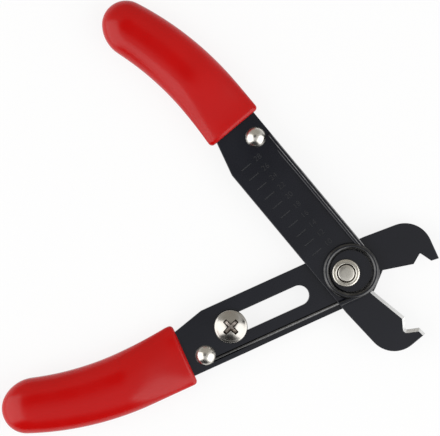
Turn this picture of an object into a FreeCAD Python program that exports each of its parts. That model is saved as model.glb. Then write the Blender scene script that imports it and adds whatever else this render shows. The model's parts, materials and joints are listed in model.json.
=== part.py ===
import FreeCAD, Part
import math
import os

V = FreeCAD.Vector

# Wire cutter and stripper with an adjustable stop, lying open on its back.
# Two blanked steel levers cross on one rivet. A wire spring round the rivet holds them apart, and a screw
# in the back lever's slot stops the front lever as the handles close.
# Each lever is drawn in its own frame: X from the pivot to the grip, Y towards the other lever, and Z away
# from the plane where the levers meet. The finished part stands on Z = 0 with its jaws towards +X.

# Lever blanks
plate = 2.0
lever_gap = 0.1
opening_angle = 74.6
lever_outer = 9.2
lever_inner = 7.25
taper_start = 42.6
tang_inner = 4.5
grip_mouth = 53.0

# Jaws
front_reach = 28.1
back_reach = 26.4
front_edge_drop = 2.9
back_edge_drop = 3.8
spine_start = 9.0
spine_fall = 1.1
jaw_end_radius = 8.0
heel_reach = 10.2
edge_fall = 2.05
notch_setback = 7.4
notch_apex_setback = 4.4
notch_depth = 2.15
lip_setback = 2.3
lip_drop = 1.25
tip_drop = 1.5
notch_round = 0.3
ground_bevel = 0.9
edge_break = 0.25

# Raised ring round the pivot, its round lever end, and the rib along the outer edge
ring_shift_u = -0.5
ring_shift_w = -1.5
ring_foot_inner = 6.0
ring_top_inner = 7.0
ring_top_outer = 7.8
ring_foot_outer = 8.2
ring_height = 1.3
ring_round = 0.4
lever_end_radius = 8.3
ridge_foot = 2.4
ridge_top = 1.0
ridge_height = 1.2
ridge_round = 0.35
rib_width = 1.9
rib_height = 1.0
rib_round = 0.45
rib_setback = 3.7
rib_fade_run = 13.0

# Pivot rivet and its washer
pivot_shank_radius = 2.4
pivot_button_radius = 2.75
pivot_button_height = 0.9
pivot_head_radius = 4.05
pivot_head_height = 1.2
pivot_washer_thickness = 0.9
edge_round = 0.3
running_fit = 0.05

# Spring rivets
spring_rivet_setback = 6.3
spring_rivet_w = -5.1
spring_rivet_shank = 1.5
spring_rivet_head = 2.95
spring_rivet_dome = 1.7
spring_rivet_tail = 0.8

# Return spring
wire = 1.0
spring_slack = 0.1
coil_shift = 1.3
coil_room = 0.4
spring_pocket = 1.3
channel_setback = 8.7
channel_fade_run = 10.0
coil_spans = 6

# Adjusting stop
slot_width = 5.8
slot_w = -0.45
slot_inner_end = 14.9
slot_setback = 10.1
screw_radius = 2.5
screw_head_radius = 4.85
screw_head_side = 1.1
screw_head_height = 3.3
recess_length = 5.2
recess_width = 1.1
recess_depth = 1.6
recess_turn = 20.6
nut_across_flats = 8.0
nut_thickness = 2.7
screw_point = 0.2

# Grips
grip_thick = 10.4
grip_wall = 1.6
front_outer_wall = 1.8
back_outer_wall = 2.4
front_grip_tip = 102.65
back_grip_tip = 107.25
bend_run = 40.5
bend_lead = 3.3
outer_bend_radius = 93.0
inner_bend_radius = 85.0
mouth_bend_radius = 140.0
tip_taper = 1.55
tip_spread = 3.1
grip_round = 4.4
mouth_round = 0.6
grip_fit = 0.05

# Values that follow from the sizes above
half_opening = opening_angle / 2
mid_height = grip_thick / 2
face_offset = lever_gap / 2
spring_rivet_u = grip_mouth - spring_rivet_setback
slot_outer_end = spring_rivet_u - slot_setback
rib_end = spring_rivet_u - rib_setback
channel_end = spring_rivet_u - channel_setback
round_end_u = ring_shift_u + math.sqrt(lever_end_radius ** 2 - (lever_outer + ring_shift_w) ** 2)
hook_radius = spring_rivet_shank + spring_slack + wire / 2
leg_w = spring_rivet_w - hook_radius
coil_u = -coil_shift * math.cos(math.radians(half_opening))
coil_w = -coil_shift * math.sin(math.radians(half_opening))
coil_radius = coil_w - leg_w
leg_height = spring_pocket / 2
AXIS = V(0, 0, 1)
ORIGIN = V(0, 0, 0)


# Small helpers for drawing

def line(start, end):
    return Part.LineSegment(start, end).toShape()


def arc(start, middle, end):
    return Part.Arc(start, middle, end).toShape()


def face_of(edges):
    return Part.Face(Part.Wire(edges))


def polygon(points):
    return face_of([line(a, b) for a, b in zip(points, points[1:] + points[:1])])


def disc(radius, low, high, u=0.0, w=0.0):
    return Part.makeCylinder(radius, high - low, V(u, w, low))


def turned(points):
    """A solid of revolution about Z from its profile's (radius, height) corners."""
    return polygon([V(radius, 0, height) for radius, height in points]).revolve(ORIGIN, AXIS, 360)


def dome(radius, height, base):
    """A cap of a sphere, flat side at the base height."""
    sphere = (radius ** 2 + height ** 2) / (2 * height)
    centre = base + height - sphere
    half_angle = math.asin(radius / sphere) / 2
    middle = V(sphere * math.sin(half_angle), 0, centre + sphere * math.cos(half_angle))
    top = V(0, 0, base + height)
    rim = V(radius, 0, base)
    foot = V(0, 0, base)
    return face_of([line(foot, rim), arc(rim, middle, top), line(top, foot)]).revolve(ORIGIN, AXIS, 360)


def upright_edges(shape, corners):
    """The straight edges along Z that stand on the given plan corners."""
    found = []
    for edge in shape.Edges:
        first = edge.Vertexes[0].Point
        last = edge.Vertexes[-1].Point
        plan = V(first.x, first.y, 0)
        if abs(first.z - last.z) > 0.1 and plan.distanceToPoint(V(last.x, last.y, 0)) < 1e-6:
            if any(plan.distanceToPoint(corner) < 1e-4 for corner in corners):
                found.append(edge)
    return found


def flat_edges(shape, height):
    low = [e for e in shape.Edges if abs(e.BoundBox.ZMin - height) < 1e-6]
    return [e for e in low if abs(e.BoundBox.ZMax - height) < 1e-6]


def front_place(shape):
    placed = shape.copy()
    placed.rotate(ORIGIN, AXIS, 180 - half_opening)
    placed.translate(V(0, 0, mid_height + face_offset))
    return placed


def back_place(shape):
    placed = shape.copy()
    placed.rotate(ORIGIN, V(1, 0, 0), 180)
    placed.rotate(ORIGIN, AXIS, 180 + half_opening)
    placed.translate(V(0, 0, mid_height - face_offset))
    return placed


# Grips: soft sleeves that bend towards each other at the tip, and the lever tangs inside them

def rise(run, radius):
    return radius - math.sqrt(radius ** 2 - run ** 2)


def circles_meet(first, first_radius, second, second_radius):
    """Where two circles cross, on the left as seen from the first centre towards the second."""
    way = second - first
    apart = way.Length
    along = (first_radius ** 2 - second_radius ** 2 + apart ** 2) / (2 * apart)
    across = math.sqrt(first_radius ** 2 - along ** 2)
    return first + way * (along / apart) + V(-way.y, way.x, 0) * (across / apart)


def round_arc(centre, start, end):
    halfway = (start - centre) + (end - centre)
    return arc(start, centre + halfway.normalize() * start.distanceToPoint(centre), end)


def bent_end(tip, outer, inner, inset, height):
    """The arcs of a grip's bent end, or of the tang inside it: outer side, tip, corner and inner side."""
    tip_radius = (outer + inner) / 2 + inset - tip_taper
    corner_radius = tip_radius + tip_spread
    outer_start = V(tip - bend_run, -outer, height)
    inner_start = V(tip - bend_run + bend_lead, inner, height)
    outer_bend = outer_start + V(0, outer_bend_radius - inset, 0)
    inner_bend = inner_start + V(0, inner_bend_radius + inset, 0)
    run = bend_run - tip_radius
    reach = outer_bend_radius - tip_radius
    end = outer_bend + V(run, -math.sqrt(reach ** 2 - run ** 2), 0)
    corner = circles_meet(end, tip_spread, inner_bend, inner_bend_radius + corner_radius)
    outer_end = outer_bend + (end - outer_bend).normalize() * (outer_bend_radius - inset)
    tip_end = corner + (end - corner).normalize() * (corner_radius - inset)
    inner_end = inner_bend + (corner - inner_bend).normalize() * (inner_bend_radius + inset)
    arcs = [
        round_arc(outer_bend, outer_start, outer_end), round_arc(end, outer_end, tip_end),
        round_arc(corner, tip_end, inner_end), round_arc(inner_bend, inner_end, inner_start),
    ]
    return arcs, outer_start, inner_start


def tang(tip, clearance, start, low, high):
    """The lever's handle inside the grip, or with a clearance, the room for it."""
    outer = lever_outer + clearance
    inner = tang_inner + clearance
    arcs, outer_start, inner_start = bent_end(tip, outer, inner, grip_wall - clearance, low)
    outer_mouth = V(start, -outer, low)
    inner_mouth = V(start, inner, low)
    plan = face_of(
        [line(outer_mouth, outer_start)] + arcs
        + [line(inner_start, inner_mouth), line(inner_mouth, outer_mouth)]
    )
    return plan.extrude(V(0, 0, high - low))


def grip(tip, outer_wall):
    low = -mid_height - face_offset
    high = mid_height - face_offset
    arcs, outer_start, inner_start = bent_end(tip, lever_outer + outer_wall, tang_inner + grip_wall, 0, low)
    outer_mouth = V(grip_mouth, outer_start.y, low)
    flare = rise(inner_start.x - grip_mouth, mouth_bend_radius)
    inner_mouth = V(grip_mouth, inner_start.y + flare, low)
    mouth_side = round_arc(inner_start + V(0, mouth_bend_radius, 0), inner_start, inner_mouth)
    plan = face_of([line(outer_mouth, outer_start)] + arcs + [mouth_side, line(inner_mouth, outer_mouth)])
    sleeve = plan.extrude(V(0, 0, high - low))
    rims = flat_edges(sleeve, low) + flat_edges(sleeve, high)
    sleeve = sleeve.makeFillet(grip_round, [e for e in rims if e.BoundBox.XMax > grip_mouth + 1e-6])
    mouth = [e for e in sleeve.Edges if e.BoundBox.XMax < grip_mouth + 1e-6]
    sleeve = sleeve.makeFillet(mouth_round, mouth)
    return sleeve.cut(tang(tip, grip_fit, grip_mouth - grip_wall, -grip_fit, plate + grip_fit))


# Levers

def jaw_corners(reach, edge_drop):
    """The cutting edge's heel, the notch that strips, and the jaw's pointed tip."""
    notch_w = -edge_drop - edge_fall
    return [
        V(-heel_reach, -edge_drop, 0),
        V(notch_setback - reach, notch_w, 0),
        V(notch_apex_setback - reach, notch_w + notch_depth, 0),
        V(lip_setback - reach, notch_w - lip_drop, 0),
        V(-reach, notch_w - tip_drop, 0),
    ]


def on_cutting_edge(edge, start, end):
    middle = edge.CenterOfMass
    return start.x > middle.x > end.x and middle.y < start.y


def lever_blank(reach, edge_drop):
    """The flat blank with its ground cutting edge, from the jaw to the mouth of the grip."""
    heel, notch, apex, lip, tip = jaw_corners(reach, edge_drop)
    centre = V(ring_shift_u, ring_shift_w, 0)
    end_start = V(round_end_u, -lever_outer, 0)
    foot_length = math.sqrt(centre.distanceToPoint(heel) ** 2 - lever_end_radius ** 2)
    foot = circles_meet(centre, lever_end_radius, heel, foot_length)
    spine_end = V(-reach, lever_inner - spine_fall, 0)
    spine_root = V(-spine_start, lever_inner, 0)
    taper = V(taper_start, lever_inner, 0)
    mouth_inner = V(grip_mouth, tang_inner, 0)
    mouth_outer = V(grip_mouth, -lever_outer, 0)
    corners = [foot, heel, notch, apex, lip, tip, spine_end, spine_root]
    corners += [taper, mouth_inner, mouth_outer, end_start]
    sides = [line(a, b) for a, b in zip(corners, corners[1:])]
    plan = face_of(sides + [round_arc(centre, end_start, foot)])
    blank = plan.extrude(V(0, 0, plate))
    blank = blank.makeFillet(jaw_end_radius, upright_edges(blank, [spine_end]))
    blank = blank.makeFillet(notch_round, upright_edges(blank, [apex]))
    sharp = [V(heel.x, apex.y + ground_bevel, 0), tip]
    top = flat_edges(blank, plate)
    blank = blank.makeChamfer(ground_bevel, [e for e in top if on_cutting_edge(e, *sharp)])
    crest = flat_edges(blank, plate)
    crest = [e for e in crest if e.CenterOfMass.x < tip.x + 1e-6 or e.CenterOfMass.y > sharp[0].y]
    base = [e for e in flat_edges(blank, 0) if not on_cutting_edge(e, *sharp)]
    outline = [e for e in crest + base if e.BoundBox.XMin < grip_mouth - edge_break]
    return blank.makeFillet(edge_break, outline)


def pivot_ring():
    ring = turned([
        (ring_foot_inner, plate), (ring_foot_outer, plate),
        (ring_top_outer, plate + ring_height), (ring_top_inner, plate + ring_height),
    ])
    ring = ring.makeFillet(ring_round, flat_edges(ring, plate + ring_height))
    ring.translate(V(ring_shift_u, ring_shift_w, 0))
    return ring


def leg_ridge():
    """A straight ridge from the ring to the inner edge, where the other lever's spring leg comes out."""
    top = plate + ridge_height
    middle = (ring_top_inner + ring_top_outer) / 2
    section = [
        V(middle - ridge_foot / 2, 0, plate - edge_break), V(middle + ridge_foot / 2, 0, plate - edge_break),
        V(middle + ridge_top / 2, 0, top), V(middle - ridge_top / 2, 0, top),
    ]
    run = 2 * lever_inner
    ridge = polygon(section).extrude(V(0, -run, 0))
    crest = [e for e in ridge.Edges if e.BoundBox.ZMin > top - 1e-6 and e.BoundBox.YLength > 1e-6]
    ridge = ridge.makeFillet(ridge_round, crest)
    ridge.rotate(ORIGIN, AXIS, 90 + opening_angle)
    ridge.translate(V(ring_shift_u, ring_shift_w, 0))
    past_edge = Part.makeBox(4 * run, run, 4 * plate, V(-2 * run, lever_inner - edge_break, 0))
    return ridge.cut(past_edge)


def edge_rib():
    """A rib pressed up along the outer edge, which runs out beside the spring rivet."""
    low = plate - edge_break
    side = [
        V(round_end_u, -lever_outer, low), V(rib_end, -lever_outer, low),
        V(rib_end - rib_fade_run, -lever_outer, plate + rib_height),
        V(round_end_u, -lever_outer, plate + rib_height),
    ]
    rib = polygon(side).extrude(V(0, rib_width, 0))
    crest = [e for e in rib.Edges if e.BoundBox.ZMax > plate and e.BoundBox.XLength > 1e-6]
    return rib.makeFillet(rib_round, crest)


def spring_room():
    """The space pressed into a lever's meeting face for the coil, its leg and its hook."""
    depth = spring_pocket
    track = wire / 2 + spring_slack
    coil = disc(coil_radius + wire / 2 + coil_room, 0, depth, coil_u, coil_w)
    coil = coil.cut(disc(coil_radius - wire / 2 - coil_room, 0, depth, coil_u, coil_w))
    leg = Part.makeBox(spring_rivet_u - coil_u, 2 * track, depth, V(coil_u, leg_w - track, 0))
    hook = disc(hook_radius + track, 0, depth, spring_rivet_u, spring_rivet_w)
    side = [
        V(round_end_u, leg_w, 0), V(channel_end, leg_w, 0), V(channel_end - channel_fade_run, leg_w, depth),
        V(round_end_u, leg_w, depth),
    ]
    channel = polygon(side).extrude(V(0, -lever_outer - leg_w, 0))
    return coil.fuse([leg, hook, channel])


def adjusting_slot():
    half = slot_width / 2
    start = V(slot_inner_end, slot_w - half, 0)
    slot = Part.makeBox(slot_outer_end - slot_inner_end, slot_width, plate, start)
    ends = [disc(half, 0, plate, u, slot_w) for u in (slot_inner_end, slot_outer_end)]
    return slot.fuse(ends)


def slot_rims(body):
    rims = flat_edges(body, 0) + flat_edges(body, plate)
    rims = [e for e in rims if abs(e.CenterOfMass.y - slot_w) < slot_width]
    low = slot_inner_end - slot_width
    high = slot_outer_end + slot_width
    return [e for e in rims if low < e.BoundBox.XMin and e.BoundBox.XMax < high]


def lever(reach, edge_drop, grip_tip, cuts):
    handle = tang(grip_tip, 0, grip_mouth, 0, plate)
    body = lever_blank(reach, edge_drop).fuse([handle, pivot_ring(), leg_ridge(), edge_rib()])
    pivot_hole = disc(pivot_shank_radius + running_fit, 0, plate)
    rivet_hole = disc(spring_rivet_shank + running_fit, 0, plate, spring_rivet_u, spring_rivet_w)
    return body.cut([pivot_hole, rivet_hole, spring_room()] + cuts).removeSplitter()


# Rivets

def spring_rivet(head_outward):
    """A round-headed rivet that holds the spring's hook, with its dome on either face of the lever."""
    shank = disc(spring_rivet_shank, 0, plate)
    tail = disc(spring_rivet_head, -spring_rivet_tail, 0)
    rivet = dome(spring_rivet_head, spring_rivet_dome, plate).fuse([shank, tail])
    if not head_outward:
        rivet.rotate(V(0, 0, plate / 2), V(1, 0, 0), 180)
    rivet = rivet.removeSplitter()
    rivet.translate(V(spring_rivet_u, spring_rivet_w, 0))
    return rivet


def pivot_rivet():
    """Factory head under the back lever, shank through both levers, and the button spun over the washer."""
    back_face = mid_height - face_offset - plate - running_fit
    washer_top = mid_height + face_offset + plate + 2 * running_fit + pivot_washer_thickness
    head = disc(pivot_head_radius, back_face - pivot_head_height, back_face)
    head = head.makeFillet(edge_round, flat_edges(head, back_face - pivot_head_height))
    shank = disc(pivot_shank_radius, back_face, washer_top)
    button = disc(pivot_button_radius, washer_top, washer_top + pivot_button_height)
    button = button.makeFillet(edge_round, flat_edges(button, washer_top + pivot_button_height))
    return head.fuse([shank, button]).removeSplitter()


def pivot_washer():
    low = mid_height + face_offset + plate + running_fit
    high = low + pivot_washer_thickness
    washer = disc(pivot_head_radius, low, high).cut(disc(pivot_shank_radius + running_fit, low, high))
    outer_rim = [e for e in flat_edges(washer, high) if e.BoundBox.XLength > 2 * pivot_button_radius]
    return washer.makeFillet(edge_round, outer_rim)


# Return spring

def leg_points(place):
    """The hook's end, crown and root, and the place where the leg meets the coil, on one of the levers."""
    points = [
        V(spring_rivet_u, spring_rivet_w + hook_radius, leg_height),
        V(spring_rivet_u + hook_radius, spring_rivet_w, leg_height),
        V(spring_rivet_u, leg_w, leg_height),
        V(coil_u, leg_w, leg_height),
    ]
    return [place(Part.Vertex(point)).Point for point in points]


def coil_arcs():
    """The coil climbs one turn and a bit, from the back lever's leg to the front lever's."""
    wrap = 360 + 180 - opening_angle
    climb = 2 * (leg_height + face_offset)
    points = []
    for step in range(2 * coil_spans + 1):
        share = step / (2 * coil_spans)
        turn = math.radians(half_opening - 90 + wrap * share)
        rise_here = mid_height + climb * (share - 0.5)
        points.append(V(coil_shift + coil_radius * math.cos(turn), coil_radius * math.sin(turn), rise_here))
    return [arc(*points[first:first + 3]) for first in range(0, 2 * coil_spans, 2)]


def return_spring():
    """One wire: a hook and a leg on the back lever, the coil, and a leg and a hook on the front lever."""
    back = leg_points(back_place)
    front = leg_points(front_place)
    path = [arc(*back[:3]), line(back[2], back[3])] + coil_arcs()
    path += [line(front[3], front[2]), arc(front[2], front[1], front[0])]
    hook_heading = path[0].tangentAt(path[0].FirstParameter)
    section = Part.Wire([Part.Circle(back[0], hook_heading, wire / 2).toShape()])
    return Part.Wire(path).makePipeShell([section], True, True)


# Adjusting stop

def stop_screw():
    """Pan-head screw with a cross recess. Its head stands on the back lever's meeting face."""
    domed = dome(screw_head_radius, screw_head_height - screw_head_side, screw_head_side)
    head = disc(screw_head_radius, 0, screw_head_side).fuse(domed).removeSplitter()
    floor = screw_head_height - recess_depth
    for length, width in ((recess_length, recess_width), (recess_width, recess_length)):
        arm = Part.makeBox(length, width, recess_depth, V(-length / 2, -width / 2, floor))
        arm.rotate(ORIGIN, AXIS, recess_turn)
        head = head.cut(arm)
    shank = disc(screw_radius, -plate - running_fit - nut_thickness - screw_point, 0)
    return head.fuse(shank).removeSplitter()


def stop_nut():
    across_corners = nut_across_flats / math.cos(math.radians(30))
    corners = []
    for step in range(6):
        angle = math.radians(60 * step)
        corners.append(V(across_corners / 2 * math.cos(angle), across_corners / 2 * math.sin(angle), 0))
    top = -plate - running_fit
    nut = polygon(corners).extrude(V(0, 0, nut_thickness))
    nut.translate(V(0, 0, top - nut_thickness))
    crown = dome(across_corners / 2, nut_thickness, 0)
    bowl = disc(across_corners / 2, top - nut_thickness / 2, top)
    crown.rotate(ORIGIN, V(1, 0, 0), 180)
    crown.translate(V(0, 0, top - nut_thickness / 2))
    nut = nut.common(bowl.fuse(crown))
    return nut.cut(disc(screw_radius + running_fit, top - nut_thickness, top)).removeSplitter()


def at_stop(shape):
    """Sets a piece drawn head-up about its own axis at the outer end of the back lever's slot."""
    placed = shape.copy()
    placed.rotate(ORIGIN, V(1, 0, 0), 180)
    placed.translate(V(slot_outer_end, slot_w, 0))
    return back_place(placed)


# The assembly, moved so that the middle of its base is at the origin

front_lever = lever(front_reach, front_edge_drop, front_grip_tip, [])
back_lever = lever(back_reach, back_edge_drop, back_grip_tip, [adjusting_slot()])
back_lever = back_lever.makeFillet(edge_break, slot_rims(back_lever))
pieces = {
    "front_lever": front_place(front_lever),
    "back_lever": back_place(back_lever),
    "front_grip": front_place(grip(front_grip_tip, front_outer_wall)),
    "back_grip": back_place(grip(back_grip_tip, back_outer_wall)),
    "pivot_rivet": pivot_rivet(),
    "pivot_washer": pivot_washer(),
    "front_spring_rivet": front_place(spring_rivet(True)),
    "back_spring_rivet": back_place(spring_rivet(False)),
    "return_spring": return_spring(),
    "stop_screw": at_stop(stop_screw()),
    "stop_nut": at_stop(stop_nut()),
}
box = Part.makeCompound(list(pieces.values())).optimalBoundingBox(False, False)
base = V(-(box.XMin + box.XMax) / 2, -(box.YMin + box.YMax) / 2, -box.ZMin)
os.makedirs("parts", exist_ok=True)
for name, shape in pieces.items():
    shape.translate(base)
    shape.exportStep("parts/" + name + ".step")
print("pivot axis at", round(base.x, 3), round(base.y, 3), "levers meet at", round(mid_height + base.z, 3))
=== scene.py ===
import bmesh
import bpy
import json
import math
from mathutils import Matrix, Vector


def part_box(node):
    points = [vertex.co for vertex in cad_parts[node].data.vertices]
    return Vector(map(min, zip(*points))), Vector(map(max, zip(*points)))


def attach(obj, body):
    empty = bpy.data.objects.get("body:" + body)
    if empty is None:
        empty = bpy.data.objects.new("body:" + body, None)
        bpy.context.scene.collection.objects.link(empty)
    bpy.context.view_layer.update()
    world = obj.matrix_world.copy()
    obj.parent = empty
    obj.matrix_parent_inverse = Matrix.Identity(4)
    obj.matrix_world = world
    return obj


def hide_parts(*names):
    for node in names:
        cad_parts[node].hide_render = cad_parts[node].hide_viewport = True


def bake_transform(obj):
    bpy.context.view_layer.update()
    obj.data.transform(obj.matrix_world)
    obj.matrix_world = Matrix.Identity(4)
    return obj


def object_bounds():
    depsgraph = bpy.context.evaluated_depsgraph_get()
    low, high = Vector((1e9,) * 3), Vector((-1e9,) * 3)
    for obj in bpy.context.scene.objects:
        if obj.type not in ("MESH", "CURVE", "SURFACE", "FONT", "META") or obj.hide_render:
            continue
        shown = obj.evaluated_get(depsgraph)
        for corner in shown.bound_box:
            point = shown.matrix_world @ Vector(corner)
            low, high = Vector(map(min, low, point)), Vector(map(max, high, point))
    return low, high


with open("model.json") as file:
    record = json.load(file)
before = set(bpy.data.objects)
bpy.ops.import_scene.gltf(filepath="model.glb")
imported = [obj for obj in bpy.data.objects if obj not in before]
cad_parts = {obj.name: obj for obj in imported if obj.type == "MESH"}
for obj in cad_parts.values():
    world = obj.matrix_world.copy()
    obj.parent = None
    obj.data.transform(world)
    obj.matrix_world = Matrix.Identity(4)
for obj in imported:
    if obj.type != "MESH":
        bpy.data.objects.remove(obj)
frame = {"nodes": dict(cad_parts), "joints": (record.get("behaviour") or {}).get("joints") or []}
cad_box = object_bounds()

# Back lever
# One of two blanks of 2 mm steel plate, pressed up round the pivot and along its outer edge to house the
# spring, then enamelled black. Its jaw is ground to a bare edge, and the pressings' crests are lighter,
# partly from wear and partly as painted highlight.

MM = 0.001
joints = {joint["name"]: joint for joint in frame["joints"]}
pivot = Vector(joints["handle_close"]["pos_m"])
slot_line = Vector(joints["stop_slide"]["axis"])
half_opening = math.atan2(slot_line.y, slot_line.x)
face_offset = 0.05 * MM
jaw_middle = pivot + Vector((22.0 * MM, -0.5 * MM, 0.0))
jaw_start = -8.7
ground_slopes = (0.6, 0.8)
crest_height = 2.1
crest_slopes = (0.45, 0.97)
ring_centre = Vector((-0.5 * MM, -1.5 * MM, 0.0))
bead_radius = 7.25
bead_half = 0.95
bead_base = 2.3
bead_rise = 1.08
bead_foot = 1.9
bead_steps = 16
rib_start = 9.0
rib_inner = -7.9
rib_end_slope = 0.15
crest_middle = -8.6
crest_half = 0.55
crest_top = 3.15
crest_foot = 1.7
crest_round = 0.35
crest_begin = 2.8
crest_end = 1.5
crest_fade = 1.6
crest_least = 0.05
turn_steps = 96
corner_steps = 6
weld_gap = 0.0005 * MM
seam_gap = 0.001 * MM
flat_area = 3.0 * MM ** 2
flat_limit = math.cos(math.radians(0.4))
plate_angle = 28.0
grain_range = (0.3, 0.7)
enamel_black = ((0.0056, 0.0064, 0.0106), (0.0070, 0.0079, 0.0128))
enamel_roughness = (0.19, 0.24)
edge_steel = ((0.78, 0.78, 0.77), (0.95, 0.95, 0.94))
edge_roughness = (0.24, 0.4)
edge_scratches = (12000.0, 400.0, 400.0)
ring_highlight_grey = (0.05, 0.11)
inner_crest_highlight_grey = (0.06, 0.19)
outer_crest_highlight_grey = (0.22, 0.42)
crest_roughness = (0.26, 0.34)


def lever_frame(side):
    """From a lever's own axes (pivot to grip, towards the other lever, away from it) to the part's."""
    lift = Matrix.Translation(pivot + Vector((0.0, 0.0, side * face_offset)))
    turn = Matrix.Rotation(math.pi - side * half_opening, 4, "Z")
    flip = Matrix.Rotation(0.0 if side > 0 else math.pi, 4, "X")
    return lift @ turn @ flip


back_frame = lever_frame(-1)


def finish_of(name, **settings):
    """A new material with its shader's plain sockets set, its node tree and that shader."""
    material = bpy.data.materials.new(name)
    material.use_nodes = True
    tree = material.node_tree
    shader = tree.nodes["Principled BSDF"]
    for socket, value in settings.items():
        shader.inputs[socket.replace("_", " ")].default_value = value
    return material, tree, shader


def node(tree, kind, inputs=None, **settings):
    """A new node with its settings and its plain inputs."""
    made = tree.nodes.new(kind)
    for name, value in settings.items():
        setattr(made, name, value)
    for name, value in (inputs or {}).items():
        made.inputs[name].default_value = value
    return made


def place(tree, offset=(0.0, 0.0, 0.0), turn=0.0, stretch=(1.0, 1.0, 1.0)):
    """The piece's own coordinates in metres, centred on a point, turned about Z and stretched."""
    source = node(tree, "ShaderNodeTexCoord")
    move = node(tree, "ShaderNodeMapping", {"Location": [-value for value in offset]}, vector_type="POINT")
    spin = node(tree, "ShaderNodeMapping", {"Rotation": (0.0, 0.0, -turn), "Scale": stretch})
    tree.links.new(source.outputs["Object"], move.inputs["Vector"])
    tree.links.new(move.outputs["Vector"], spin.inputs["Vector"])
    return spin.outputs["Vector"]


def grain(tree, where, scale, detail=3.0):
    """A cloudy pattern, as a factor."""
    made = node(tree, "ShaderNodeTexNoise", {"Scale": scale, "Detail": detail, "Roughness": 0.5})
    tree.links.new(where, made.inputs["Vector"])
    return made.outputs["Fac"]


def shades(tree, factor, low, high):
    """Two colours, mixed by a grain."""
    ramp = node(tree, "ShaderNodeValToRGB")
    for stop, position, colour in zip(ramp.color_ramp.elements, grain_range, (low, high)):
        stop.position = position
        stop.color = (*colour, 1.0)
    tree.links.new(factor, ramp.inputs["Fac"])
    return ramp.outputs["Color"]


def spread(tree, factor, low, high):
    """A grain brought from its usual middle range into another range."""
    start, end = grain_range
    made = node(
        tree, "ShaderNodeMapRange",
        {"From Min": start, "From Max": end, "To Min": low, "To Max": high},
    )
    tree.links.new(factor, made.inputs["Value"])
    return made.outputs["Result"]


def relief(tree, height, depth, strength, under=None):
    """Fine unevenness of a surface, on top of another one where given."""
    made = node(tree, "ShaderNodeBump", {"Distance": depth, "Strength": strength})
    tree.links.new(height, made.inputs["Height"])
    if under is not None:
        tree.links.new(under, made.inputs["Normal"])
    return made.outputs["Normal"]


def lever_enamel():
    """Thin black enamel, a little blue, with a fine orange peel and slight clouding of its gloss."""
    material, tree, shader = finish_of("lever_enamel", IOR=1.5)
    where = place(tree)
    cloud = grain(tree, where, scale=90.0, detail=2.0)
    peel = grain(tree, where, scale=2600.0, detail=2.0)
    dust = grain(tree, where, scale=9000.0, detail=1.0)
    tree.links.new(shades(tree, cloud, *enamel_black), shader.inputs["Base Color"])
    tree.links.new(spread(tree, cloud, *enamel_roughness), shader.inputs["Roughness"])
    coarse = relief(tree, peel, depth=0.02 * MM, strength=0.25)
    fine = relief(tree, dust, depth=0.006 * MM, strength=0.2, under=coarse)
    tree.links.new(fine, shader.inputs["Normal"])
    return material


def ground_steel():
    """Bare steel with the fine scratches that the grinding wheel leaves across the edge."""
    material, tree, shader = finish_of("ground_steel", Metallic=1.0)
    lines = grain(tree, place(tree, pivot, half_opening, edge_scratches), scale=1.0)
    tree.links.new(shades(tree, lines, *edge_steel), shader.inputs["Base Color"])
    tree.links.new(spread(tree, lines, *edge_roughness), shader.inputs["Roughness"])
    tree.links.new(relief(tree, lines, depth=0.01 * MM, strength=0.25), shader.inputs["Normal"])
    return material


def crest_wear_highlight_enamel(name, low, high):
    """Enamel gone thin on the crests of the pressings, with steel showing; its lighter grey is partly wear
    and partly painted highlight.
    """
    material, tree, shader = finish_of(name, Metallic=1.0)
    wear = grain(tree, place(tree), scale=420.0)
    tree.links.new(shades(tree, wear, (low, low, low), (high, high, high)), shader.inputs["Base Color"])
    tree.links.new(spread(tree, wear, *crest_roughness), shader.inputs["Roughness"])
    return material


enamel = lever_enamel()
bare_edge = ground_steel()
ring_sheen = crest_wear_highlight_enamel("ring_enamel", *ring_highlight_grey)
inner_crest_wear_highlight = crest_wear_highlight_enamel("crest_wear_highlight_enamel", *inner_crest_highlight_grey)
outer_crest_wear_highlight = crest_wear_highlight_enamel("outer_crest_wear_highlight_enamel", *outer_crest_highlight_grey)
lever_finishes = (enamel, bare_edge, ring_sheen, inner_crest_wear_highlight, outer_crest_wear_highlight)


def piece_of(name, data):
    """A new object in the scene."""
    made = bpy.data.objects.new(name, data)
    bpy.context.scene.collection.objects.link(made)
    return made


def own_copy(name, node_name):
    """A piece with a copy of a node's mesh, joined up, that stands for the node."""
    mesh = frame["nodes"][node_name].data.copy()
    work = bmesh.new()
    work.from_mesh(mesh)
    bmesh.ops.remove_doubles(work, verts=work.verts, dist=weld_gap)
    work.to_mesh(mesh)
    work.free()
    mesh.materials.clear()
    made = piece_of(name, mesh)
    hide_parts(node_name)
    return made


def flat_regions(mesh):
    """For each face, the area of the flat region that it is part of."""
    faces = mesh.polygons
    sides = {}
    for face in faces:
        for key in face.edge_keys:
            sides.setdefault(key, []).append(face.index)
    area = {}
    for face in faces:
        if face.index in area:
            continue
        region = {face.index}
        queue = [face.index]
        while queue:
            for key in faces[queue.pop()].edge_keys:
                for other in sides[key]:
                    if other not in region and faces[other].normal.dot(face.normal) > flat_limit:
                        region.add(other)
                        queue.append(other)
        whole = sum(faces[index].area for index in region)
        area.update({index: whole for index in region})
    return area


def corner_angle(mesh, face, corner):
    """The angle of a face at one of its corners."""
    ring = list(face.vertices)
    spot = ring.index(corner)
    here = mesh.vertices[corner].co
    before = mesh.vertices[ring[spot - 1]].co - here
    after = mesh.vertices[ring[(spot + 1) % len(ring)]].co - here
    return before.angle(after, 0.0)


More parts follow.
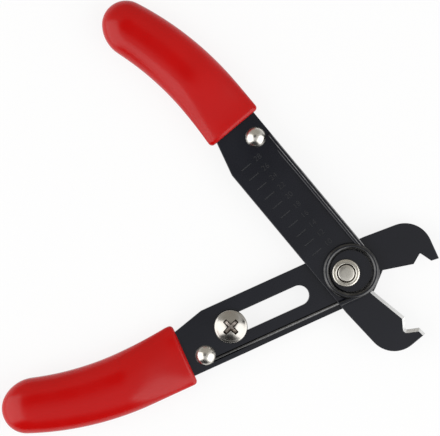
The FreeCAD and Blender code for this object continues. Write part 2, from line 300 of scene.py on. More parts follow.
def dress(piece, angle):
    """Shades round faces smoothly and keeps each flat one flat, right up to its edge."""
    mesh = piece.data
    faces = mesh.polygons
    area = flat_regions(mesh)
    around = [[] for _ in mesh.vertices]
    for face in faces:
        for corner in face.vertices:
            around[corner].append(face)
    limit = math.cos(math.radians(angle))
    normals = []
    for face in faces:
        for corner in face.vertices:
            fan = [other for other in around[corner] if other.normal.dot(face.normal) > limit] or [face]
            widest = max(fan, key=lambda other: area[other.index])
            if area[widest.index] > flat_area:
                normals.append(widest.normal.copy())
                continue
            blend = Vector()
            for other in fan:
                blend += other.normal * corner_angle(mesh, other, corner)
            normals.append(blend.normalized() if blend.length > 0.0 else face.normal.copy())
    mesh.shade_smooth()
    mesh.normals_split_custom_set(normals)


def plain_mesh(made):
    """The object's mesh with its modifiers worked in."""
    shown = made.evaluated_get(bpy.context.evaluated_depsgraph_get())
    mesh = bpy.data.meshes.new_from_object(shown)
    made.modifiers.clear()
    return mesh


def cut(piece, tool, operation="DIFFERENCE"):
    """Takes the tool's shape out of the piece, or joins it on. The new faces keep the tool's finish."""
    knife = piece.modifiers.new("cut", "BOOLEAN")
    knife.operation = operation
    knife.solver = "EXACT"
    knife.material_mode = "TRANSFER"
    knife.object = tool
    piece.data = plain_mesh(piece)
    bpy.data.objects.remove(tool)


def skinned(name, work):
    """A piece from finished faces, closed at their seams and all turned outwards."""
    bmesh.ops.remove_doubles(work, verts=work.verts, dist=seam_gap)
    bmesh.ops.recalc_face_normals(work, faces=work.faces)
    mesh = bpy.data.meshes.new(name)
    work.to_mesh(mesh)
    work.free()
    return piece_of(name, mesh)


def lofted(name, rings):
    """A closed skin over rings that have equally many points, with a flat face at both ends."""
    work = bmesh.new()
    loops = [[work.verts.new(spot) for spot in ring] for ring in rings]
    for lower, upper in zip(loops, loops[1:]):
        for index in range(len(lower)):
            after = (index + 1) % len(lower)
            work.faces.new((lower[index], lower[after], upper[after], upper[index]))
    work.faces.new(loops[0])
    work.faces.new(loops[-1])
    return skinned(name, work)


def turned(name, profile, centre):
    """A solid of revolution about an upright axis, from its profile's (radius, height) corners in mm."""
    work = bmesh.new()
    foot = Vector((*centre.xy, 0.0))
    rings = []
    for radius, height in profile:
        count = turn_steps if radius > 0.0 else 1
        ring = []
        for step in range(count):
            angle = 2.0 * math.pi * step / turn_steps
            spot = Vector((radius * math.cos(angle), radius * math.sin(angle), height)) * MM
            ring.append(work.verts.new(spot + foot))
        rings.append(ring)
    for lower, upper in zip(rings, rings[1:]):
        for step in range(turn_steps):
            corners = []
            for ring, index in ((lower, step), (lower, step + 1), (upper, step + 1), (upper, step)):
                corner = ring[index % len(ring)]
                if corner not in corners:
                    corners.append(corner)
            work.faces.new(corners)
    return skinned(name, work)


def bend(centre, radius, start, end, steps=corner_steps):
    """Points of a rounded corner in a profile, from one angle to another, in degrees."""
    points = []
    for step in range(steps + 1):
        angle = math.radians(start + (end - start) * step / steps)
        points.append((centre[0] + radius * math.cos(angle), centre[1] + radius * math.sin(angle)))
    return points


def ring_bead(to_part):
    """The rounded crest of the pressed ring."""
    profile = [(bead_radius + bead_half, bead_foot)]
    for step in range(bead_steps + 1):
        angle = math.pi * step / bead_steps
        profile.append((bead_radius + bead_half * math.cos(angle), bead_base + bead_rise * math.sin(angle)))
    profile += [(bead_radius - bead_half, bead_foot), profile[0]]
    made = turned("ring_bead", profile, ring_centre)
    made.data.transform(to_part)
    return made


def rib_crest(to_part, rivet_name):
    """The narrow crest of the rib at the lever's outer edge, from the ring to beside the rivet."""
    low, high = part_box(rivet_name)
    last = (to_part.inverted() @ ((low + high) / 2.0)).x / MM - crest_end
    stations = [(crest_begin, 1.0)]
    for step in range(corner_steps + 1):
        share = step / corner_steps
        height = max(math.sqrt(1.0 - share ** 2), crest_least)
        stations.append((last - crest_fade * (1.0 - share), height))
    shoulder = crest_top - crest_round
    section = (
        [(-crest_half, crest_foot)]
        + bend((crest_round - crest_half, shoulder), crest_round, 180.0, 90.0)
        + bend((crest_half - crest_round, shoulder), crest_round, 90.0, 0.0)
        + [(crest_half, crest_foot)]
    )
    rings = []
    for along, share in stations:
        ring = []
        for across, height in section:
            rise = crest_foot + (height - crest_foot) * share
            ring.append(to_part @ (Vector((along, crest_middle + across, rise)) * MM))
        rings.append(ring)
    return lofted("rib_crest", rings)


def paint_lever(lever, to_part):
    """Enamel all over, lighter on the crests as wear and painted highlight, and bare steel on the ground
    slope that faces the wire.
    """
    lever.data.materials.clear()
    for finish in lever_finishes:
        lever.data.materials.append(finish)
    inverse = to_part.inverted()
    turn = inverse.to_3x3()
    for face in lever.data.polygons:
        spot = inverse @ face.center / MM
        facing = turn @ face.normal
        flat = Vector((face.normal.x, face.normal.y, 0.0))
        inward = flat.dot(jaw_middle - face.center) > 0.0
        ahead = spot.x < jaw_start
        crest = spot.z > crest_height and crest_slopes[0] < facing.z < crest_slopes[1]
        ground = spot.z < crest_height and ground_slopes[0] < facing.z < ground_slopes[1]
        finish = enamel
        # Painted highlight: the ring's and the rib's crests get lighter metal, and the rib's outward slope
        # gets the lightest.
        if crest and spot.x < rib_start:
            finish = ring_sheen
        elif crest and spot.y < rib_inner and abs(facing.x) < rib_end_slope:
            finish = outer_crest_wear_highlight if facing.y < 0.0 else inner_crest_wear_highlight
        elif ground and inward and ahead:
            finish = bare_edge
        face.material_index = lever_finishes.index(finish)


def pressed_blank(name, node_name, to_part, rivet_name, tools=()):
    """A lever with its ground and pressed forms, painted."""
    made = own_copy(name, node_name)
    for tool in tools:
        cut(made, tool)
    cut(made, ring_bead(to_part), "UNION")
    cut(made, rib_crest(to_part, rivet_name), "UNION")
    paint_lever(made, to_part)
    return made


back_plate = pressed_blank("back_lever_blank", "back_lever", back_frame, "back_spring_rivet")
dress(back_plate, plate_angle)
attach(back_plate, "back_half")

# Return spring
# Bare music wire. Its coil lies round the rivet between the levers, and each leg lies in its lever's groove
# and hooks round a small rivet beside the grip. It is painted darker towards the hooks as shade, where the
# legs lie deep in their grooves.

wire_shade_start = 25.0 * MM
wire_shade_end = 58.0 * MM
wire_steel = ((0.15, 0.15, 0.15), (0.24, 0.24, 0.238))
wire_shade_colour = (0.025, 0.025, 0.026, 1.0)
wire_roughness = (0.22, 0.32)
wire_angle = 50.0
first_colour_socket = 6
second_colour_socket = 7
mixed_colour_socket = 2


def spring_wire():
    """Drawn wire, bare near the coil and painted darker towards the hooks as shade in the grooves."""
    material, tree, shader = finish_of("spring_wire", Metallic=1.0)
    drawn = grain(tree, place(tree), scale=1500.0)
    reach = node(tree, "ShaderNodeVectorMath", operation="LENGTH")
    # Painted shade: the wire darkens from 25 mm to 58 mm from the pivot, where it lies deep in its groove.
    shade_along = node(tree, "ShaderNodeMapRange", {"From Min": wire_shade_start, "From Max": wire_shade_end})
    mix = node(tree, "ShaderNodeMix", {second_colour_socket: wire_shade_colour}, data_type="RGBA")
    tree.links.new(place(tree, pivot), reach.inputs[0])
    tree.links.new(reach.outputs["Value"], shade_along.inputs["Value"])
    tree.links.new(shade_along.outputs["Result"], mix.inputs["Factor"])
    tree.links.new(shades(tree, drawn, *wire_steel), mix.inputs[first_colour_socket])
    tree.links.new(mix.outputs[mixed_colour_socket], shader.inputs["Base Color"])
    tree.links.new(spread(tree, drawn, *wire_roughness), shader.inputs["Roughness"])
    tree.links.new(relief(tree, drawn, depth=0.008 * MM, strength=0.2), shader.inputs["Normal"])
    return material


spring = own_copy("return_spring_wire", "return_spring")
spring.data.materials.append(spring_wire())
dress(spring, wire_angle)
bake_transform(spring)

# Front lever
# The same blank without the slot. A scale is stamped into its face before painting: a line for each setting
# of the stop near the edge that meets the screw, with the setting's number beside it.

front_frame = lever_frame(1)
lever_face = 2.0 * MM
heel_corner = Vector((-10.2, -2.9))
heel_rise = 0.195
heel_bevel = 0.9
heel_arc = 8.36
heel_over = 0.5
heel_open = 3.0
heel_skim = 0.01
heel_turn = math.radians(225.0)
heel_steps = 8
mark_count = 10
mark_first = 10.0 * MM
mark_pitch = 3.53 * MM
mark_middle = 2.6 * MM
mark_length = 3.6 * MM
mark_width = 0.32 * MM
mark_depth = 0.14 * MM
number_depth = 0.06 * MM
number_first = 10
number_step = 2
number_height = 2.3 * MM
number_edge = -0.6 * MM
line_highlight_grey = ((0.020, 0.021, 0.026), (0.034, 0.035, 0.041))
number_highlight_grey = ((0.009, 0.0097, 0.0135), (0.015, 0.0157, 0.0195))
stamped_roughness = (0.4, 0.55)


def stamped_enamel(name, low, high):
    """Enamel in the bottom of a stamped mark, duller, and lighter as painted highlight for the light that the
    mark's edges catch.
    """
    material, tree, shader = finish_of(name, IOR=1.5)
    cloud = grain(tree, place(tree), scale=1800.0)
    tree.links.new(shades(tree, cloud, low, high), shader.inputs["Base Color"])
    tree.links.new(spread(tree, cloud, *stamped_roughness), shader.inputs["Roughness"])
    return material


# Painted highlight: the lines and the numbers are lighter than the enamel round them.
stamped = stamped_enamel("stamped_enamel", *line_highlight_grey)
numbered = stamped_enamel("number_enamel", *number_highlight_grey)


def mark_tree():
    """A row of bars along X, each a stamp's tooth."""
    tree = bpy.data.node_groups.new("stamped_lines", "GeometryNodeTree")
    tree.interface.new_socket("Geometry", in_out="OUTPUT", socket_type="NodeSocketGeometry")
    tree.interface.new_socket("Marks", in_out="INPUT", socket_type="NodeSocketInt")
    for name in ("First", "Pitch"):
        tree.interface.new_socket(name, in_out="INPUT", socket_type="NodeSocketFloat")
    tree.interface.new_socket("Tooth", in_out="INPUT", socket_type="NodeSocketVector")
    enter = tree.nodes.new("NodeGroupInput")
    leave = tree.nodes.new("NodeGroupOutput")
    row = tree.nodes.new("GeometryNodeMeshLine")
    start = tree.nodes.new("ShaderNodeCombineXYZ")
    step = tree.nodes.new("ShaderNodeCombineXYZ")
    tooth = tree.nodes.new("GeometryNodeMeshCube")
    copies = tree.nodes.new("GeometryNodeInstanceOnPoints")
    real = tree.nodes.new("GeometryNodeRealizeInstances")
    coat = tree.nodes.new("GeometryNodeSetMaterial")
    coat.inputs["Material"].default_value = stamped
    for source, target in (
        (enter.outputs["Marks"], row.inputs["Count"]),
        (enter.outputs["First"], start.inputs["X"]),
        (enter.outputs["Pitch"], step.inputs["X"]),
        (start.outputs["Vector"], row.inputs["Start Location"]),
        (step.outputs["Vector"], row.inputs["Offset"]),
        (enter.outputs["Tooth"], tooth.inputs["Size"]),
        (row.outputs["Mesh"], copies.inputs["Points"]),
        (tooth.outputs["Mesh"], copies.inputs["Instance"]),
        (copies.outputs["Instances"], real.inputs["Geometry"]),
        (real.outputs["Geometry"], coat.inputs["Geometry"]),
        (coat.outputs["Geometry"], leave.inputs["Geometry"]),
    ):
        tree.links.new(source, target)
    return tree


def line_stamp():
    """The stamp for all the lines, half sunk in the lever's face."""
    made = piece_of("line_stamp", bpy.data.meshes.new("line_stamp"))
    tree = mark_tree()
    bars = made.modifiers.new("bars", "NODES")
    bars.node_group = tree
    sizes = {
        "Marks": mark_count, "First": mark_first, "Pitch": mark_pitch,
        "Tooth": (mark_width, mark_length, 2.0 * mark_depth),
    }
    for item in tree.interface.items_tree:
        if item.in_out == "INPUT":
            bars[item.identifier] = sizes[item.name]
    made.data = plain_mesh(made)
    made.data.transform(front_frame @ Matrix.Translation((0.0, mark_middle, lever_face)))
    return made


def number_stamp(count):
    """One number, read along its line, with its foot towards the pivot."""
    letters = bpy.data.curves.new("number", "FONT")
    letters.body = str(number_first + number_step * count)
    letters.size = number_height
    letters.extrude = number_depth
    letters.align_y = "CENTER"
    made = piece_of("number_stamp", letters)
    mesh = plain_mesh(made)
    bpy.data.objects.remove(made)
    mesh.materials.clear()
    mesh.materials.append(numbered)
    spot = Matrix.Translation((mark_first + mark_pitch * count, number_edge, lever_face))
    mesh.transform(front_frame @ spot @ Matrix.Rotation(-math.pi / 2.0, 4, "Z"))
    return piece_of("number_stamp", mesh)


def heel_grind():
    """The wheel's path past the heel of the jaw, which carries the ground edge on to the ring."""
    centre = ring_centre.xy / MM
    plate = lever_face / MM
    edge = Vector((1.0, heel_rise)).normalized()
    levels = ((-heel_over, 0.0), (plate - heel_bevel, 0.0), (plate + heel_over, heel_bevel + heel_over))
    rings = []
    for height, shift in levels:
        # Along the ground edge to the ring, then round the ring
        start = heel_corner - edge * heel_over + Vector((-edge.y, edge.x)) * (shift - heel_skim)
        along = (start - centre).dot(edge)
        run = -along - math.sqrt(along ** 2 - (start - centre).length_squared + heel_arc ** 2)
        corners = [start, start + edge * run]
        first = math.atan2(*(corners[1] - centre).yx) % (2.0 * math.pi)
        for step in range(1, heel_steps + 1):
            angle = first + (heel_turn - first) * step / heel_steps
            corners.append(centre + heel_arc * Vector((math.cos(angle), math.sin(angle))))
        # Out past the lever and back to the start
        corners.append(corners[-1] + Vector((-heel_open, -heel_open)))
        corners.append(heel_corner - edge * heel_over - Vector((0.0, heel_open)))
        rings.append([front_frame @ (Vector((*spot, height)) * MM) for spot in corners])
    return lofted("heel_grind", rings)


front_plate = pressed_blank(
    "front_lever_stamped", "front_lever", front_frame, "front_spring_rivet", [heel_grind()],
)
cut(front_plate, line_stamp())
for count in range(mark_count):
    cut(front_plate, number_stamp(count))
dress(front_plate, plate_angle)
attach(front_plate, "front_half")

# Pivot rivet and washer
# A nickel-plated steel rivet through both levers. Its button is spun down over a washer in front, which
# leaves a turned flat with rings round it, and its factory head lies behind.

washer_low, washer_high = (corner.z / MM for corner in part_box("pivot_washer"))
washer_radius = (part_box("pivot_washer")[1].x - pivot.x) / MM
rivet_low, rivet_high = (corner.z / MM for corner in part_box("pivot_rivet"))
shank_radius = 2.4
washer_bore = 2.45
washer_foot = 0.1
washer_round = 0.5
washer_groove = 3.4
washer_dip = 0.16
ring_radius = 3.12
ring_round = 0.22
ring_drop = 0.25
ring_curl = 150.0
button_radius = 2.35
button_round = 0.22
button_curl = 85.0
button_groove = 2.5
button_crown = 0.05
groove_depth = 0.62
groove_shade = (2.3, 2.7)
groove_shade_drop = 0.3
head_round = 0.35
head_height = 1.2
turned_angle = 40.0
turned_tint = (0.74, 0.715, 0.65)
turned_roughness = (0.24, 0.32)
haze_dim = 0.94
shade_brown = ((0.045, 0.036, 0.03), (0.09, 0.075, 0.064))
shade_roughness = (0.4, 0.55)


def nickel(name, tint, roughness, turned_about=None):
    """Nickel plate over steel, faintly warm. Turned faces carry fine rings about their axis."""
    material, tree, shader = finish_of(name, Metallic=1.0)
    where = place(tree)
    haze = grain(tree, where, scale=500.0, detail=2.0)
    dim = [value * haze_dim for value in tint]
    tree.links.new(shades(tree, haze, dim, tint), shader.inputs["Base Color"])
    tree.links.new(spread(tree, haze, *roughness), shader.inputs["Roughness"])
    marks = relief(tree, grain(tree, where, scale=900.0, detail=1.0), depth=0.01 * MM, strength=0.08)
    if turned_about is not None:
        rings = node(
            tree, "ShaderNodeTexWave",
            {"Scale": 700.0, "Distortion": 1.0, "Detail": 1.0, "Detail Scale": 20.0},
            wave_type="RINGS", rings_direction="Z",
        )
        tree.links.new(place(tree, turned_about), rings.inputs["Vector"])
        marks = relief(tree, rings.outputs["Fac"], depth=0.012 * MM, strength=0.12, under=marks)
    tree.links.new(marks, shader.inputs["Normal"])
    return material


def blotted(name, colours, roughness):
    """Rough metal in fine blots of two colours. As dark brown in the rivet's groove and on the recess walls
    it is painted shade.
    """
    material, tree, shader = finish_of(name, Metallic=1.0)
    blot = grain(tree, place(tree), scale=2400.0, detail=2.0)
    tree.links.new(shades(tree, blot, *colours), shader.inputs["Base Color"])
    tree.links.new(spread(tree, blot, *roughness), shader.inputs["Roughness"])
    return material


turned_nickel = nickel("turned_nickel", turned_tint, turned_roughness, pivot)
recess_painted_shade = blotted("recess_painted_shade", shade_brown, shade_roughness)


def soften(piece, angle):
    """Smooth shading inside the given angle, with the flat faces kept flat."""
    piece.data.shade_smooth()
    piece.data.set_sharp_from_angle(angle=math.radians(angle))
    even = piece.modifiers.new("even", "WEIGHTED_NORMAL")
    even.keep_sharp = True
    even.weight = 100


def washer_profile():
    """A flat ring with a rounded outer edge and a shallow seat for the rivet."""
    crown = washer_high - washer_round
    dip = washer_high - washer_dip
    return (
        [(washer_bore, washer_low), (washer_radius - washer_foot, washer_low)]
        + [(washer_radius, washer_low + washer_foot)]
        + bend((washer_radius - washer_round, crown), washer_round, 0.0, 90.0)
        + [(washer_groove + washer_dip, washer_high), (washer_groove, dip), (washer_bore, dip)]
        + [(washer_bore, washer_low)]
    )


def rivet_profile():
    """Flat head behind, shank, spun ring, groove and the low button inside it."""
    back = rivet_low + head_height
    seat = washer_high - washer_dip
    groove = rivet_high - groove_depth
    ring_top = rivet_high - ring_drop
    button_top = rivet_high - button_crown
    return (
        [(0.0, rivet_low)]
        + bend((washer_radius - head_round, rivet_low + head_round), head_round, -90.0, 0.0)
        + [(washer_radius, back), (shank_radius, back), (shank_radius, seat), (ring_radius, seat)]
        + bend((ring_radius - ring_round, ring_top - ring_round), ring_round, 0.0, ring_curl)
        + [(button_groove, groove), (button_radius, groove)]
        + bend((button_radius - button_round, button_top - button_round), button_round, 0.0, button_curl)
        + [(button_radius / 2.0, rivet_high - button_crown / 4.0), (0.0, rivet_high)]
    )


def turned_piece(node_name, profile, centre, finish, body):
    """A turned piece that stands for a node."""
    made = turned(node_name + "_turned", profile, centre)
    made.data.materials.append(finish)
    soften(made, turned_angle)
    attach(made, body)
    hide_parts(node_name)
    return made


turned_piece("pivot_washer", washer_profile(), pivot, turned_nickel, "back_half")
pivot_pin = turned_piece("pivot_rivet", rivet_profile(), pivot, turned_nickel, "back_half")
pivot_pin.data.materials.append(recess_painted_shade)
# Painted shade: the faces in the groove round the button are dark brown.
for face in pivot_pin.data.polygons:
    radius = (face.center - pivot).xy.length / MM
    height = face.center.z / MM
    in_groove = groove_shade[0] < radius < groove_shade[1]
    if in_groove and washer_high < height < rivet_high - groove_shade_drop:
        face.material_index = 1

# Spring rivets
# Small round-headed rivets of nickel-plated steel, one in each lever beside its grip. The spring's legs hook
# round them, and their flat tails lie behind.

dome_height = 1.7
dome_steps = 16
tail_height = 0.8
tail_round = 0.25
pin_radius = 1.5
plate_tint = (0.70, 0.675, 0.625)
plate_roughness = (0.22, 0.28)
plated = nickel("nickel_plate", plate_tint, plate_roughness)


def round_rivet(node_name, body):
    """A domed head, a short shank and a flat tail behind the lever."""
    low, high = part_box(node_name)
    radius = (high.x - low.x) / 2.0 / MM
    sphere = (radius ** 2 + dome_height ** 2) / (2.0 * dome_height)
    rim = math.degrees(math.asin(radius / sphere))
    foot = low.z / MM
    crest = high.z / MM
    profile = (
        [(0.0, foot)]
        + bend((radius - tail_round, foot + tail_round), tail_round, -90.0, 0.0)
        + [(radius, foot + tail_height), (pin_radius, foot + tail_height), (pin_radius, crest - dome_height)]
        + bend((0.0, crest - sphere), sphere, 90.0 - rim, 90.0, dome_steps)[:-1]
        + [(0.0, crest)]
    )
    turned_piece(node_name, profile, (low + high) / 2.0, plated, body)


round_rivet("front_spring_rivet", "front_half")
round_rivet("back_spring_rivet", "back_half")

# Stop screw and nut
# An M5 pan-head screw with a cross recess, through the slot into a hexagon nut behind. It is slackened,
# slid along the scale and tightened again to set how far the jaws close.

screw_axis = Vector(joints["stop_turn"]["pos_m"])
screw_foot = Vector((*screw_axis.xy, 0.0))
screw_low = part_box("stop_screw")[0].z / MM
head_seat = (pivot.z - face_offset) / MM
head_radius = (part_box("stop_screw")[1].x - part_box("stop_screw")[0].x) / 2.0 / MM
head_side = 0.95
head_top = 3.3
head_edge = 0.45
head_break = 0.15
head_steps = 14
head_angle = 35.0
side_drop = 0.6
shoulder_points = ((0.05, 0.42), (0.14, 0.2), (0.28, 0.06))
thread_radius = 2.5
thread_pitch = 0.8
thread_depth = 0.42
thread_steps = 48
thread_levels = 8
thread_angle = 60.0
thread_taper = 0.25
taper_levels = 5
recess_turn = math.radians(57.9)
recess_levels = ((0.3, 2.9, 0.8), (-0.5, 2.65, 0.64), (-1.25, 2.2, 0.4), (-2.0, 1.1, 0.34))
recess_wings = 4
recess_floor = recess_levels[-2][0]
screw_tint = (0.50, 0.48, 0.445)
screw_roughness = (0.2, 0.26)
punched_grey = ((0.34, 0.3, 0.27), (0.5, 0.45, 0.41))
punched_roughness = (0.35, 0.5)
nut_angle = 25.0


def head_profile():
    """Flat seat, short side, rounded shoulder and a low dome."""
    rise = head_top - head_side
    dome = (head_radius ** 2 + rise ** 2) / (2.0 * rise)
    centre = head_seat + head_top - dome
    edge = math.degrees(math.asin((head_radius - head_edge) / dome))
    crown = bend((0.0, centre), dome, 90.0 - edge, 90.0, head_steps)
    rim = crown[0][1]
    seat = [(0.0, head_seat), (head_radius - head_break, head_seat), (head_radius, head_seat + head_break)]
    side = [(head_radius, rim - side_drop)]
    shoulder = [(head_radius - inset, rim - drop) for inset, drop in shoulder_points]
    return seat + side + shoulder + crown[:-1] + [(0.0, head_seat + head_top)]


def cross_tool(top):
    """The driver's shape: a cross that narrows as it goes down, over a bottom left rough by the punch."""
    rings = []
    for height, reach, half in recess_levels:
        ring = []
        for wing in range(recess_wings):
            spin = Matrix.Rotation(recess_turn + wing * 2.0 * math.pi / recess_wings, 3, "Z")
            for x, y in ((half, -half), (reach, -half), (reach, half)):
                ring.append(spin @ Vector((x, y, top + height)) * MM + screw_foot)
        rings.append(ring)
    made = lofted("cross_tool", rings)
    # Painted shade: the recess walls are dark brown, and the bottom has its own grey.
    made.data.materials.append(recess_painted_shade)
    made.data.materials.append(blotted("recess_ground", punched_grey, punched_roughness))
    for face in made.data.polygons:
        if face.center.z / MM < top + recess_floor:
            face.material_index = 1
    return made


def threaded_shank():
    """A cylinder whose radius follows one right-hand thread, with a tapered end."""
    levels = int((head_seat - screw_low) / thread_pitch * thread_levels)
    rings = []
    for level in range(levels + 1):
        height = screw_low + (head_seat - screw_low) * level / levels
        taper = thread_taper * (1.0 - min(1.0, level / taper_levels))
        ring = []
        for step in range(thread_steps):
            share = step / thread_steps
            phase = (height / thread_pitch - share) % 1.0
            radius = thread_radius - thread_depth * abs(2.0 * phase - 1.0) - taper
            angle = 2.0 * math.pi * share
            spot = Vector((radius * math.cos(angle), radius * math.sin(angle), height)) * MM
            ring.append(spot + screw_foot)
        rings.append(ring)
    return lofted("stop_screw_thread", rings)


screw_plate = nickel("screw_plate", screw_tint, screw_roughness)
screw_head = turned("stop_screw_head", head_profile(), screw_axis)
screw_head.data.materials.append(screw_plate)
cut(screw_head, cross_tool(head_seat + head_top))
soften(screw_head, head_angle)
screw_thread = threaded_shank()
screw_thread.data.materials.append(screw_plate)
soften(screw_thread, thread_angle)
for made in (screw_head, screw_thread):
    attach(made, "stop_screw")
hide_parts("stop_screw")
nut = own_copy("stop_nut_plated", "stop_nut")
nut.data.materials.append(plated)
dress(nut, nut_angle)
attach(nut, "stop_slider")

# Grips
# Sleeves of soft red vinyl, dipped or pushed on over the handles. Each has a broad, slightly crowned face and
# a rounded tip that bends towards the other handle, and thins to an open lip where the lever comes out.

grip_stations = 84
grip_steps = 72
grip_squareness = 2.3
grip_angle = 60.0
tip_round = 8.5
tip_squareness = 2.2
tip_gap = 0.002
lip_round = 1.2
lip_steps = 6
mouth_wall = 1.45
mouth_run = 20.0
front_reach = 0.4
back_reach = 1.0
socket_depth = 6.0
socket_fit = 0.08
socket_squareness = 14.0
plate_edges = (-9.2, 4.5)
far_side = 60.0 * MM
vinyl_red = ((0.455, 0.0024, 0.0020), (0.51, 0.0030, 0.0026))
vinyl_roughness = (0.2, 0.26)


def vinyl():
    """Glossy red plastisol with a slight unevenness from dipping and a few fine pits."""
    material, tree, shader = finish_of("grip_vinyl", IOR=1.5, Specular_IOR_Level=0.3)
    where = place(tree)
    cloud = grain(tree, where, scale=45.0, detail=2.0)
    flow = grain(tree, where, scale=130.0, detail=2.0)
    pits = grain(tree, where, scale=3200.0, detail=1.0)
    tree.links.new(shades(tree, cloud, *vinyl_red), shader.inputs["Base Color"])
    tree.links.new(spread(tree, flow, *vinyl_roughness), shader.inputs["Roughness"])
    coarse = relief(tree, flow, depth=0.12 * MM, strength=0.2)
    fine = relief(tree, pits, depth=0.008 * MM, strength=0.2, under=coarse)
    tree.links.new(fine, shader.inputs["Normal"])
    return material


grip_finish = vinyl()


def rounded_square(angle, squareness):
    """A point of a round-cornered square of half width 1."""
    across = math.copysign(abs(math.cos(angle)) ** (2.0 / squareness), math.cos(angle))
    upward = math.copysign(abs(math.sin(angle)) ** (2.0 / squareness), math.sin(angle))
    return across, upward


def side_at(solid, to_part, along, side, height):
    """How far the sleeve's solid reaches to one side, at a distance along the lever, in mm."""
    start = to_part @ Vector((along, side * far_side, height))
    end = to_part @ Vector((along, -side * far_side, height))
    hit, spot, _, _ = solid.ray_cast(start, (end - start).normalized())
    return (to_part.inverted() @ spot).y / MM if hit else None


def sleeve_stations(mouth, tip):
    """Places along a sleeve, each with the lip's inset there: round the lip, then on to the tip."""
    stations = []
    for step in range(lip_steps):
        angle = math.pi / 2.0 * step / lip_steps
        stations.append((mouth + lip_round * (1.0 - math.cos(angle)), lip_round * (1.0 - math.sin(angle))))
    run = tip - mouth - lip_round - tip_gap
    for step in range(grip_stations + 1):
        stations.append((mouth + lip_round + run * math.sin(math.pi / 2.0 * step / grip_stations), 0.0))
    return stations


def grip_sections(solid, to_part, reach):
    """Sections of the sleeve's skin, from the inside of its mouth over the lip to the tip."""
    inverse = to_part.inverted()
    own = [inverse @ vertex.co / MM for vertex in solid.data.vertices]
    neck = min(point.x for point in own) + lip_round
    mouth = neck - lip_round - reach
    tip = max(point.x for point in own)
    low = min(point.z for point in own)
    high = max(point.z for point in own)
    plate = lever_face / MM
    low_edge, high_edge = plate_edges
    socket_size = ((low_edge + high_edge) / 2.0, (high_edge - low_edge) / 2.0 + socket_fit)
    socket_thick = (plate / 2.0, plate / 2.0 + socket_fit)
    sections = [
        (mouth + socket_depth, socket_size, socket_thick, socket_squareness),
        (mouth, socket_size, socket_thick, socket_squareness),
    ]
    for along, inset in sleeve_stations(mouth, tip):
        outer = side_at(solid, to_part, max(along, neck) * MM, -1, (low + high) / 2.0 * MM)
        inner = side_at(solid, to_part, max(along, neck) * MM, 1, (low + high) / 2.0 * MM)
        share = min(1.0, (along - mouth) / mouth_run)
        rise = share * share * (3.0 - 2.0 * share)
        top = plate + mouth_wall + (high - plate - mouth_wall) * rise
        bottom = -mouth_wall + (low + mouth_wall) * rise
        past = max(0.0, (along - (tip - tip_round)) / tip_round)
        thick = (top - bottom) / 2.0 * math.sqrt(max(0.0, 1.0 - past ** tip_squareness))
        size = ((outer + inner) / 2.0, (inner - outer) / 2.0 - inset)
        sections.append((along, size, ((top + bottom) / 2.0, thick - inset), grip_squareness))
    return sections


def grip_sleeve(name, node_name, to_part, body, reach):
    """A sleeve that follows its solid's sides and stands for it."""
    rings = []
    sections = grip_sections(frame["nodes"][node_name], to_part, reach)
    for along, (across, half_width), (upward, half_thick), squareness in sections:
        ring = []
        for step in range(grip_steps):
            side, lift = rounded_square(2.0 * math.pi * (step + 0.5) / grip_steps, squareness)
            spot = Vector((along, across + half_width * side, upward + half_thick * lift)) * MM
            ring.append(to_part @ spot)
        rings.append(ring)
    made = lofted(name, rings)
    made.data.materials.append(grip_finish)
    soften(made, grip_angle)
    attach(made, body)
    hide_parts(node_name)


grip_sleeve("front_grip_sleeve", "front_grip", front_frame, "front_half", front_reach)
grip_sleeve("back_grip_sleeve", "back_grip", back_frame, "back_half", back_reach)

# Table, light and camera
# The tool lies on a white table between two soft lamps, in a pale tent that has a few dim places. It is seen
# from straight above.

picture_turn = math.radians(12.9)
picture_width = 127.2 * MM
picture_shift = (-38.875 * MM, 7.343 * MM)
picture_centre = Vector((pivot.x + picture_shift[0], pivot.y + picture_shift[1], 0.0))
camera_height = 0.5
sensor = 36.0
table_half = 3.0
table_gap = 0.02 * MM
table_white = (0.93, 0.93, 0.93, 1.0)
table_glow = 0.85
lamp_distance = 0.9
lamp_size = 1.15
lamp_brightness = 1.65
tent_shade = (0.62, 0.62, 0.62, 1.0)
tent_gaps = (
    (137.0, 78.0, 11.0, 16.0, (0.04, 0.04, 0.045, 1.0)),
    (257.0, 15.0, 26.0, 44.0, (0.05, 0.05, 0.05, 1.0)),
    (101.0, 42.0, 32.0, 60.0, (0.68, 0.65, 0.59, 1.0)),
    (12.0, 6.0, 10.0, 20.0, (0.06, 0.06, 0.06, 1.0)),
)


def white_table():
    """Matt white that looks evenly lit from the camera and in the metal, and still takes soft shadows."""
    material, tree, shader = finish_of("white_table", Roughness=0.9, Specular_IOR_Level=0.1)
    shader.inputs["Base Color"].default_value = table_white
    light = node(tree, "ShaderNodeLightPath")
    seen = node(tree, "ShaderNodeMath", operation="MAXIMUM")
    also = node(tree, "ShaderNodeMath", operation="MAXIMUM")
    share = node(tree, "ShaderNodeMath", {1: table_glow}, operation="MULTIPLY")
    glow = node(tree, "ShaderNodeEmission", {"Color": (1.0, 1.0, 1.0, 1.0), "Strength": 1.0})
    mix = node(tree, "ShaderNodeMixShader")
    for source, target in (
        (light.outputs["Is Camera Ray"], seen.inputs[0]),
        (light.outputs["Is Glossy Ray"], seen.inputs[1]),
        (seen.outputs["Value"], also.inputs[0]),
        (light.outputs["Is Transmission Ray"], also.inputs[1]),
        (also.outputs["Value"], share.inputs[0]),
        (share.outputs["Value"], mix.inputs["Fac"]),
        (shader.outputs["BSDF"], mix.inputs[1]),
        (glow.outputs["Emission"], mix.inputs[2]),
        (mix.outputs["Shader"], tree.nodes["Material Output"].inputs["Surface"]),
    ):
        tree.links.new(source, target)
    return material


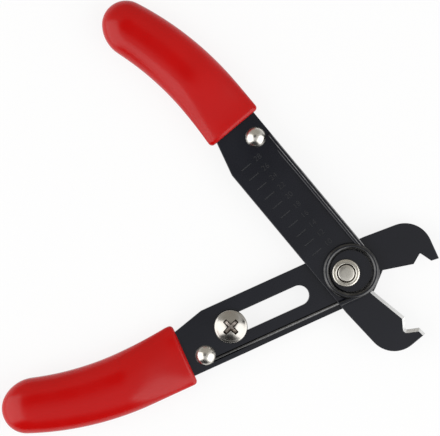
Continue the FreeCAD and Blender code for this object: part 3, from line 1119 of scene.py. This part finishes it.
def table():
    """A flat sheet just under the tool."""
    work = bmesh.new()
    bmesh.ops.create_grid(work, x_segments=1, y_segments=1, size=table_half)
    mesh = bpy.data.meshes.new("table")
    work.to_mesh(mesh)
    work.free()
    made = piece_of("table", mesh)
    made.location.z = cad_box[0].z - table_gap
    made.data.materials.append(white_table())


def heading(azimuth, elevation):
    """A direction by its angle round the picture, from the right, and its angle above the table."""
    flat = math.radians(azimuth) + picture_turn
    upward = math.radians(elevation)
    return Vector((math.cos(flat) * math.cos(upward), math.sin(flat) * math.cos(upward), math.sin(upward)))


def lamp(name, azimuth, elevation):
    """A large soft box that faces the middle of the picture."""
    data = bpy.data.lights.new(name, "AREA")
    data.shape = "SQUARE"
    data.size = lamp_size
    data.energy = lamp_brightness * lamp_size ** 2 * math.pi
    made = piece_of(name, data)
    made.location = picture_centre + heading(azimuth, elevation) * lamp_distance
    aim = picture_centre - made.location
    made.rotation_euler = aim.to_track_quat("-Z", "Y").to_euler()


def room_light():
    """The tent. Each dim place has a direction, the angles where it is full and where it ends, and a tint."""
    world = bpy.data.worlds.new("room")
    bpy.context.scene.world = world
    world.use_nodes = True
    tree = world.node_tree
    way = node(tree, "ShaderNodeTexCoord")
    shade = node(tree, "ShaderNodeRGB")
    shade.outputs[0].default_value = tent_shade
    colour = shade.outputs[0]
    for azimuth, elevation, inner, outer, tint in tent_gaps:
        facing = node(tree, "ShaderNodeVectorMath", {1: heading(azimuth, elevation)}, operation="DOT_PRODUCT")
        near = node(
            tree, "ShaderNodeMapRange",
            {"From Min": math.cos(math.radians(outer)), "From Max": math.cos(math.radians(inner))},
            interpolation_type="SMOOTHSTEP",
        )
        dim = node(
            tree, "ShaderNodeMix", {second_colour_socket: tint}, data_type="RGBA", blend_type="MULTIPLY",
        )
        tree.links.new(way.outputs["Generated"], facing.inputs[0])
        tree.links.new(facing.outputs["Value"], near.inputs["Value"])
        tree.links.new(near.outputs["Result"], dim.inputs["Factor"])
        tree.links.new(colour, dim.inputs[first_colour_socket])
        colour = dim.outputs[mixed_colour_socket]
    tree.links.new(colour, tree.nodes["Background"].inputs["Color"])


def camera():
    """Straight above, turned so that the levers lie as in the picture."""
    data = bpy.data.cameras.new("camera")
    data.sensor_width = sensor
    data.lens = sensor * (camera_height - pivot.z) / picture_width
    made = piece_of("camera", data)
    made.location = picture_centre + Vector((0.0, 0.0, camera_height))
    made.rotation_euler = (0.0, 0.0, picture_turn)
    bpy.context.scene.camera = made


table()
room_light()
lamp("left_lamp", azimuth=190.0, elevation=31.0)
lamp("right_lamp", azimuth=-24.0, elevation=30.0)
camera()
bpy.context.scene.view_settings.view_transform = "Standard"
